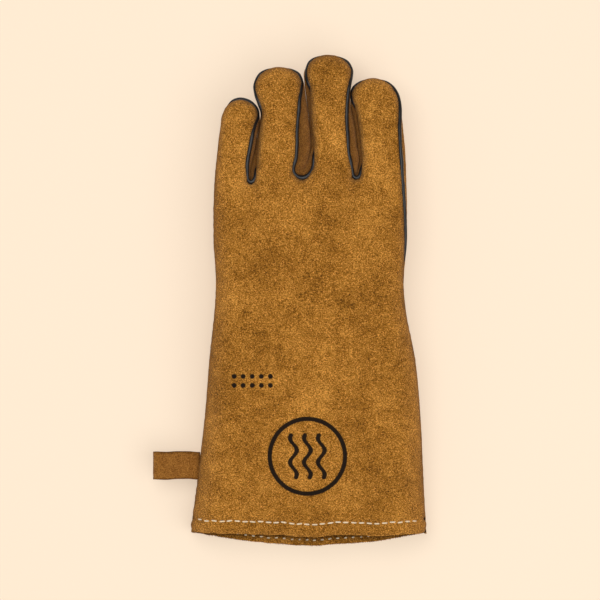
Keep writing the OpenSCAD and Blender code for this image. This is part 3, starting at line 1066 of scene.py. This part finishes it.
def seam_welts(name, is_left):
    """Paths and radii of the upper and the lower welt of one side of a finger, from its crotch."""
    finger = HANDS[name]
    seam = side_seam(name, is_left)
    hidden = tucked(finger.left if is_left else finger.right, seam.rows)[:, None]
    bottom = 1 - smooth(abs(seam.outward[:, :1]) / 0.75)
    upper = seam.upper + lerp(lerp(0.1, -0.85, hidden), -0.75, bottom) * seam.outward + [0, 0, 0.35]
    lower = seam.lower + lerp(-0.3, -0.75, bottom) * seam.outward - [0, 0, 0.35]
    fade = smooth((seam.rows - finger.corner + 6) / 6)
    plump = 1 + 0.22 * bottom[:, 0]
    upper, radius = with_end(name, upper, is_left)
    radius[:len(plump)] *= plump
    return (upper, radius), (lower, 0.85 * WELT * plump * lerp(1, 0.6, fade))


def add_halves(builds, name, rings):
    """Shares a finger's cord out between its base and its tip."""
    cut = int(np.argmax(rings[:, :, 1].mean(1) >= finger_cut(name)))
    add_cord(builds[name, "base"], rings[:cut + 1])
    add_cord(builds[name, "tip"], rings[cut:])


def add_gap_welts(builds, left_finger, right_finger):
    """The welts that run down one finger, round the crotch and up the next."""
    levels = zip(seam_welts(left_finger, False), seam_welts(right_finger, True))
    for level, (down, up) in enumerate(levels):
        turn = len(down[0]) - 1
        path = np.concatenate([down[0][::-1], up[0][1:]])
        radius = np.concatenate([down[1][::-1], up[1][1:]])
        path, uneven = wobbly(softened(path), 100 + 10 * level + len(left_finger))
        rings = cord_rings(path, radius * uneven)
        add_halves(builds, left_finger, rings[:turn + 1][::-1, ::-1])
        add_halves(builds, right_finger, rings[turn:])


def add_outer_welt(builds):
    """The welt up the thumb side of the index finger."""
    y = spaced(JOIN_Y, (finger_cut("index"), 1.2), (HANDS["index"].corner, 1.2))
    z = curve(SEAM_Z, y) + right_offset(y, "back")
    path, radius = with_end("index", np.stack([edge_right(y, "back") + 0.4, y, z + 0.3], 1), False)
    path, uneven = wobbly(softened(path), 140)
    add_halves(builds, "index", cord_rings(path, radius * uneven))


def make_welts():
    builds = {(name, part): Build() for name in FINGERS for part in ("base", "tip")}
    for left_finger, right_finger in zip(FINGERS, FINGERS[1:]):
        add_gap_welts(builds, left_finger, right_finger)
    add_outer_welt(builds)
    for (name, part), build in builds.items():
        attach_finger(make(build, f"{name}_piping_{part}", WELTING), name, part)


def make_side_welts():
    """The welt down the thumb side of the hand and the cuff."""
    mouth = float(hem_line(np.array(85.0), "palm")) + 1
    for part, low, high in (("cuff", mouth, CUFF_END), ("hand", CUFF_END, JOIN_Y)):
        y = spaced(low, (high, 1.5))
        z = curve(SEAM_Z, y) + right_offset(y, "back")
        above = smooth((y - 188) / 40)
        x = edge_right(y, "back") + lerp(-1.6, 0.4, above)
        build = Build()
        add_tube(build, np.stack([x, y, z + lerp(-1.9, 0.3, above)], 1), WELT)
        attach_cuff_or_hand(make(build, f"{part}_piping", WELTING), part)


# ---- Linings ----


def lining_ring(y, depth, squareness, panel_left, panel_right):
    """A ring of points inside the glove, this deep under the suede."""
    left, right = panel_left + depth, panel_right - depth
    share_x, share_z = squarish(full_turn(48), 2 / squareness)
    x = (left + right) / 2 + (right - left) / 2 * share_x
    middle = curve(SEAM_Z, y)
    top = crest(x, y, "back") - depth - 1.2 - middle
    bottom = middle - crest(x, y, "palm") - depth - 1.2
    z = middle + np.where(share_z > 0, top, bottom) * share_z
    ragged = 0.6 * lumps(x, z, 9, 70)
    return np.stack([x, y + 0 * x, z + ragged], 1)


def add_hose(build, outer, inner, closed_end):
    """A double walled hose from rings of points, open at its start and, unless closed, at its end."""
    rows, count = outer.shape[:2]
    size = rows * count
    last = size - count
    faces = quads(rows, count, 0, True, closed=True) + quads(rows, count, size, False, closed=True)
    for c in range(count):
        d = (c + 1) % count
        faces.append((size + c, size + d, d, c))
        if not closed_end:
            faces.append((last + c, last + d, size + last + d, size + last + c))
    if closed_end:
        faces.append(tuple(last + c for c in range(count)))
        faces.append(tuple(size + last + c for c in range(count))[::-1])
    build.add(np.stack([outer, inner]), faces)


def hose_rings(rows, depth, squareness, edges, sizes):
    """Rings inside the glove, each shrunk towards its middle to its own size."""
    rings = []
    for y, left, right, size in zip(rows, *edges, sizes):
        ring = lining_ring(y, depth, squareness, left, right)
        centre = ring.mean(0)
        ring = centre + (ring - centre) * size
        ring[:, 1] = y
        rings.append(ring)
    return np.array(rings)


def make_lining(name, rows, depth, squareness, edges, corner=None):
    """A hose of fleece. Towards a finger's corner it narrows, and there it closes."""
    sizes = np.ones(len(rows))
    if corner:
        sizes = np.sqrt(1 - np.clip((rows - corner + 12) / 13, 0, 1) ** 2)
    outer, inner = (hose_rings(rows, deep, squareness, edges, sizes) for deep in (depth, depth + LINING))
    if corner:
        inner[..., 1] = np.minimum(inner[..., 1], corner - LINING)
    build = Build()
    add_hose(build, outer, inner, corner is not None and rows[-1] == corner)
    return make(build, name, FLEECE)


def make_linings():
    rows = {"cuff": spaced(LINING_Y, (20, 1.5), (CUFF_END, 4)), "hand": spaced(CUFF_END, (JOIN_Y, 4))}
    for part, y in rows.items():
        edges = curve(EDGE_LEFT, y), curve(EDGE_RIGHT, y)
        attach_cuff_or_hand(make_lining(f"{part}_lining", y, HAND_LINING, 3, edges), part)
    for name in FINGERS:
        cut, corner = finger_cut(name), HANDS[name].corner
        rows = {"base": spaced(266, (cut, 3)), "tip": spaced(cut, (corner - 8, 3), (corner, 1))}
        for part, y in rows.items():
            edges = lane_edges(name, np.clip(y, 272, corner - 4), "back")
            piece = make_lining(f"{name}_lining_{part}", y, FINGER_LINING, 2.3, edges, corner)
            attach_finger(piece, name, part)


# ---- Thumb ----

THUMB_ROOT = np.array(JOINTS["thumb_root_swing"])
THUMB_BEND = np.array(JOINTS["thumb_middle_joint"])
THUMB_HALF, THUMB_HIGH, THUMB_LEN = 15.2, 20.4, 70.0
THUMB_CUT = 24.0  # where its base part ends, along the thumb
THUMB_ROUND = 17.0  # length of its round end


def thumb_axes():
    """Directions along the thumb and sideways from it."""
    along = unit((THUMB_BEND - THUMB_ROOT) * [1, 1, 0])
    return along, np.array([along[1], -along[0], 0])


def thumb_grid(places, angles, inset):
    """Points on the thumb at places along it and angles round it, and their normals."""
    along, aside = thumb_axes()
    s, a = np.meshgrid(places, angles, indexing="ij")
    root = np.clip(-s / (THUMB_HALF - inset), 0, 1)
    end = np.clip((s - THUMB_LEN + THUMB_ROUND) / (THUMB_ROUND - inset), 0, 1)
    narrow = np.sqrt(1 - root ** 2) * np.sqrt(1 - end ** 2)
    slim = smooth((s - 20) / 40)
    cos_a, sin_a = squarish(a, 0.85)
    wide = (THUMB_HALF - inset) * narrow * lerp(1, 0.93, slim) * cos_a
    tall = (THUMB_HIGH / 2 - inset) * narrow ** 0.6 * lerp(1, 0.96, slim) * sin_a
    middle = THUMB_HIGH / 2 + 0.05
    base = THUMB_ROOT * [1, 1, 0] + [0, 0, middle]
    points = base + s[..., None] * along + wide[..., None] * aside + tall[..., None] * [0, 0, 1]
    bumps = -0.25 - 0.25 * lumps(s, a * 12, 8, 80) - 0.1 * lumps(s, a * 12, 3.5, 81)
    bumps = bumps * smooth(narrow * 2)
    normals = unit(np.cross(np.gradient(points, axis=0), np.gradient(points, axis=1)))
    normals = np.where(narrow[..., None] < 0.01, np.sign(s)[..., None] * along, normals)
    return points + bumps[..., None] * normals * (inset == 0), normals


def add_collar(build):
    """The short neck of suede from the thumb's root up into the palm."""
    angle = full_turn(48)
    round_root = np.stack([np.cos(angle), np.sin(angle), 0 * angle], 1)
    shape = ((18.5, 12.6), (20.6, 12.2), (22.3, 12.4), (23.4, 12.8))  # height and radius of each ring
    outer = np.array([radius * round_root + [0, 0, height] for height, radius in shape])
    root = THUMB_ROOT * [1, 1, 0]
    add_hose(build, root + outer, root + outer * [0.89, 0.89, 1], False)


def make_thumb():
    half_turn = np.linspace(0, math.pi, 29)
    close = np.array([0, 0.15, 0.6, 1.6])  # grid lines near the round ends
    base = np.concatenate([close - THUMB_HALF, spaced(3 - THUMB_HALF, (THUMB_CUT, 1.4))])
    tip = np.concatenate([spaced(THUMB_CUT, (THUMB_LEN - 3, 1.4)), THUMB_LEN - close[::-1]])
    whole = np.concatenate([base, tip[1:]])
    # Distance to the seams at the thumb's sides, where the suede gets its painted shade.
    seam = np.tile(np.minimum(half_turn, math.pi - half_turn) * 11, (len(whole), 1))
    for panel, start in (("upper", 0), ("lower", math.pi)):
        points, normals = thumb_grid(whole, start + half_turn, 0)
        for part, kept in halves(len(base) - 1):
            build = Build()
            add_sheet(build, points[kept], normals[kept], seam[kept], LEATHER * 0.8, flip=True)
            if panel == "upper" and part == "base":
                add_collar(build)
            attach_thumb(make(build, f"thumb_{panel}_{part}", SUEDE), part)
    lining = 2.2  # how deep inside the lining starts
    for part, places in (("base", spaced(-11, (THUMB_CUT, 3))), ("tip", spaced(THUMB_CUT, (62, 2.5)))):
        outer, inner = (thumb_grid(places, full_turn(40), inset)[0]
                        for inset in (lining, lining + LINING))
        build = Build()
        add_hose(build, outer[:, ::-1], inner[:, ::-1], part == "tip")
        attach_thumb(make(build, f"thumb_lining_{part}", FLEECE), part)


def attach_thumb(obj, part):
    if part == "base":
        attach(obj, "thumb_base")
        return
    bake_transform(obj)


# ---- Patch, loop and stitches ----


def corners_of(name):
    """The lowest and the highest corner of a CAD node's box."""
    return (np.array(corner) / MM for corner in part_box(name))


def make_patch(palm):
    """A second layer of suede on the palm, cut from the same curve as the palm itself."""
    low, high = corners_of("palm_patch")
    hand = palm["hand"]
    middle_y = hand.points[:, hand.points.shape[1] // 2, 1]
    rows = np.where((middle_y > low[1]) & (middle_y < high[1]))[0]
    row_x = hand.points[rows[len(rows) // 2], :, 0]
    cols = np.where((row_x > low[0]) & (row_x < high[0]))[0]
    block = np.ix_(rows, cols)
    normals = hand.normals[block]
    points = hand.points[block] + normals * (STRIP + 0.05)
    # Distance to the patch's edge, where the material paints shade on it, as along seams.
    from_ends, from_sides = (np.minimum(np.arange(count), np.arange(count)[::-1])
                             for count in (len(rows), len(cols)))
    to_edge = np.minimum(1.5 * from_ends[:, None], 1.3 * from_sides)
    build = Build()
    add_sheet(build, points, normals, to_edge + 0.3, STRIP, flip=True)
    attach(make(build, "palm_patch", SUEDE_SIDE), "hand")
    sew_round(points, normals)


def sew_round(points, normals):
    """Stitches round the palm patch, a few rows and columns in from its edge."""
    inset = 3
    top, right = points.shape[0] - 1 - inset, points.shape[1] - 1 - inset
    corners = [(inset, inset), (inset, right), (top, right), (top, inset), (inset, inset)]
    stops = [np.linspace(a, b, max(abs(b[0] - a[0]), abs(b[1] - a[1])), endpoint=False)
             for a, b in zip(corners, corners[1:])]
    i, j = np.rint(np.vstack(stops)).astype(int).T
    path, up = points[i, j], normals[i, j]
    along = distances_along(path)
    rng = np.random.default_rng(15)
    build = Build()
    places = np.arange(2, along[-1] - 1, STITCH_PITCH)
    for place in places + rng.uniform(-0.2, 0.2, len(places)):
        point, ahead, normal = (np.array([np.interp(at, along, values[:, k]) for k in range(3)])
                                for at, values in ((place, path), (place + 1, path), (place, up)))
        add_stitch(build, point + 0.2 * normal, unit(ahead - point), normal, *PATCH_STITCH)
    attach(make(build, "palm_patch_stitching", THREAD, "palm_patch"), "hand")


def make_loop():
    """A strap folded on itself and caught in the side seam."""
    low, high = corners_of("hanging_loop")
    thick, fold = 1.6, 3.4
    middle = (low[2] + high[2]) / 2
    root, end = high[0] + 3.8, low[0] + fold + thick
    share = np.linspace(0, 1, 26)
    upper = np.stack([lerp(root, end, share), middle + lerp(0.9, fold, smooth(1.2 * share))], 1)
    angle = np.linspace(math.pi / 2, 1.5 * math.pi, 13)[1:-1]
    turn = np.stack([end + fold * np.cos(angle), middle + fold * np.sin(angle)], 1)
    lower = np.stack([upper[::-1, 0], 2 * middle - upper[::-1, 1]], 1)
    path = np.concatenate([upper, turn, lower])
    across = np.linspace(low[1], high[1], 19)
    points = np.stack(np.broadcast_arrays(path[:, None, 0], across, path[:, None, 1]), 2)
    far = abs(points[..., 0] - root)
    points[..., 2] += 0.5 * lumps(points[..., 0], points[..., 1], 15, 90) * smooth(far / 8)
    points[..., 1] += 0.35 * lumps(points[..., 0], 0 * far, 8, 91)
    normals = grid_normals(points, "back")
    points = points + 0.12 * lumps(points[..., 0], points[..., 1], 2.5, 92)[..., None] * normals
    # Painted shade darkens the strap towards its root, where it goes under the cuff; its long edges
    # darken the same way.
    edge = np.minimum(1.5 * np.minimum(across - low[1], high[1] - across), far)
    build = Build()
    add_sheet(build, points, normals, edge, thick)
    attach(make(build, "hanging_loop", SUEDE_SIDE), "hanging_loop")


def add_stitch(build, centre, direction, up, length, radius):
    """One stitch: a short plump capsule that dips into the suede at both ends."""
    s = np.linspace(-1, 1, 9)
    path = centre + direction * (s * length / 2)[:, None] + up * ((1 - s ** 2) * 0.45 - 0.35)[:, None]
    add_tube(build, path, radius * np.sqrt(np.maximum(0.06, 1 - s ** 4)), 8)


def sheet_at(sheet, col, row):
    """Point and normal of a sheet between its rows and columns."""
    c, r = int(col), int(row)
    tc, tr = col - c, row - r
    parts = []
    for grid in (sheet.points, sheet.normals):
        low = lerp(grid[r, c], grid[r, c + 1], tc)
        high = lerp(grid[r + 1, c], grid[r + 1, c + 1], tc)
        parts.append(lerp(low, high, tr))
    return parts


def make_stitches(back, palm):
    """Cream stitches along the hems of the back and of the palm side."""
    build = Build()
    rng = np.random.default_rng(5)
    for sheet, above, margin in ((back["hand"], BACK_STITCH_Y, 5), (palm["hand"], PALM_STITCH_Y, 12)):
        hem = sheet.points[0, :, 1]
        first, last = sheet.points[0, 0, 0] + margin, sheet.points[0, -1, 0] - margin
        inside = sheet is palm["hand"]
        for x in np.arange(first, last, STITCH_PITCH):
            x = x + rng.uniform(-0.25, 0.25)
            col = float(np.interp(x, sheet.points[8, :, 0], np.arange(len(hem))))
            col = min(col, len(hem) - 2.01)
            ys = sheet.points[:20, int(col), 1] - hem[int(col)]
            row = float(np.interp(above + rng.uniform(-0.2, 0.2), ys, np.arange(20)))
            point, normal = sheet_at(sheet, col, row)
            if inside:
                point, normal = point - normal * LEATHER, -normal
            ahead = sheet_at(sheet, col + 0.5, row)[0] - point
            direction = unit(ahead) + [0, rng.uniform(-0.06, 0.06), 0]
            add_stitch(build, point + 0.25 * normal, direction, normal, *STITCH)
    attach(make(build, "hem_stitching", THREAD), "cuff")


# ---- Stage ----


def low_points():
    """Places on the hand, the thumb and the fingers that may become the lowest when the glove bends."""
    points = [("hand", (x, y, curve(PALM_Z, y))) for x in (-60, 60) for y in (WRIST_Y + 12, JOIN_Y)]
    along, aside = thumb_axes()
    thumb = THUMB_ROOT * [1, 1, 0] + along * (THUMB_LEN - 8)
    points += [("thumb_tip", thumb + aside * side) for side in (-8, 8)]
    for name in FINGERS:
        x, y, z = JOINTS[f"{name}_middle_joint"]
        tip = HANDS[name].tip
        points += [(f"{name}_base", (x, y, z + side)) for side in (12, -12)]
        ends = [(y + 8, z + 12), (tip, curve(SEAM_Z, tip))]
        ends += [(tip - 6, curve(heights, tip)) for heights in (TOP_Z, PALM_Z)]
        points += [(f"{name}_tip", (x, *end)) for end in ends]
    return points


def sink_with_glove(floor):
    """A bending glove would lift itself off the floor. Its cuff stays put here, so the floor sinks."""
    driver = floor.driver_add("location", 2).driver
    driver.type = "MIN"
    markers = [(None, (0, 0, 0))] + low_points()
    for i, (body, place) in enumerate(markers):
        marker = add_object(f"low_point_{i}", None)
        marker.location = Vector(place) * MM
        marker.hide_render = True
        if body:
            carrier = frame["bodies"][body]
            marker.parent = carrier
            marker.matrix_parent_inverse = carrier.matrix_world.inverted()
        variable = driver.variables.new()
        variable.name = f"low_{i}"
        variable.type = "TRANSFORMS"
        target = variable.targets[0]
        target.id = marker
        target.transform_type = "LOC_Z"
        target.transform_space = "WORLD_SPACE"


# The floor's tones, the shares of them that it gives off and reflects, and where it fades to PALE
TONES = (0.95, 0.785, 0.61), (0.965, 0.797, 0.62)
GLOWING, REFLECTING = 0.5, 0.52
FADE = 0.35, 2.2
STUDIO_LIGHT = 0.36


def make_floor():
    """A pale matt floor that glows a little, and further out looks just like the world behind it."""
    bpy.ops.mesh.primitive_plane_add(size=40)
    floor = bpy.context.object
    floor.name = "floor"
    paint = Paint("floor")
    faint = paint.noise(0.02, 2)
    tone = paint.mix(paint.spread(faint, 0.3, 0.7), *TONES)
    glow, colour = (paint.mix(1.0, tone, (share,) * 3, "MULTIPLY") for share in (GLOWING, REFLECTING))
    place = paint.node("TexCoord").outputs["Object"]
    length = paint.node("VectorMath", {0: place}, operation="LENGTH").outputs["Value"]
    far = paint.spread(length, *FADE)
    glow = paint.mix(far, glow, PALE)
    colour = paint.mix(far, colour, (0.0, 0.0, 0.0))
    floor.data.materials.append(paint.finish(Base_Color=colour, Roughness=0.9, Specular_IOR_Level=0.1,
                                             Emission_Color=glow, Emission_Strength=1.0))
    see_through_from_below(paint)
    sink_with_glove(floor)


def see_through_from_below(paint):
    """A camera under the floor looks through it."""
    underside = paint.node("NewGeometry").outputs["Backfacing"]
    below = paint.math("MULTIPLY", underside, paint.seen_by_camera())
    mixed = paint.mix_shaders(below, paint.shader, paint.node("BsdfTransparent"))
    paint.put(paint.output.inputs[0], mixed)


def make_light(name, size, energy, place, target):
    data = bpy.data.lights.new(name, "AREA")
    data.shape = "DISK"
    data.size = size
    data.energy = energy
    light = add_object(name, data)
    light.location = place
    light.rotation_euler = (Vector(target) - Vector(place)).to_track_quat("-Z", "Y").to_euler()


def make_camera():
    """Straight above the glove, as far back as a product photographer stands."""
    width, height = 0.44, 2.2
    data = bpy.data.cameras.new("camera")
    data.sensor_width = 36
    data.lens = 36 * height / width
    camera = add_object("camera", data)
    middle = (cad_low + cad_high) / 2
    camera.location = (middle.x + 0.008, middle.y, height)
    bpy.context.scene.camera = camera


def make_world():
    """Even light from all round, behind which the camera sees the same pale tone as the floor's."""
    world = bpy.data.worlds.new("studio")
    bpy.context.scene.world = world
    world.use_nodes = True
    nodes = Nodes(world.node_tree)
    light = nodes.node("Background", {0: (1, 0.99, 0.97), 1: STUDIO_LIGHT})
    mixed = nodes.mix_shaders(nodes.seen_by_camera(), light, nodes.node("Background", {0: PALE}))
    nodes.node("OutputWorld", {0: mixed})


def make_stage():
    make_floor()
    palm = (0, 0.17, 0)
    make_light("key", 1.3, 17, (-0.3, 0.5, 1.8), palm)
    make_light("fill", 1.8, 16, (0.7, -0.4, 1.7), palm)
    make_world()
    bpy.context.scene.view_settings.view_transform = "Standard"
    make_camera()


back_sheets = make_panels("back")
palm_sheets = make_panels("palm")
make_sidewalls()
make_welts()
make_side_welts()
make_linings()
make_thumb()
make_patch(palm_sheets)
make_loop()
make_stitches(back_sheets, palm_sheets)
make_stage()
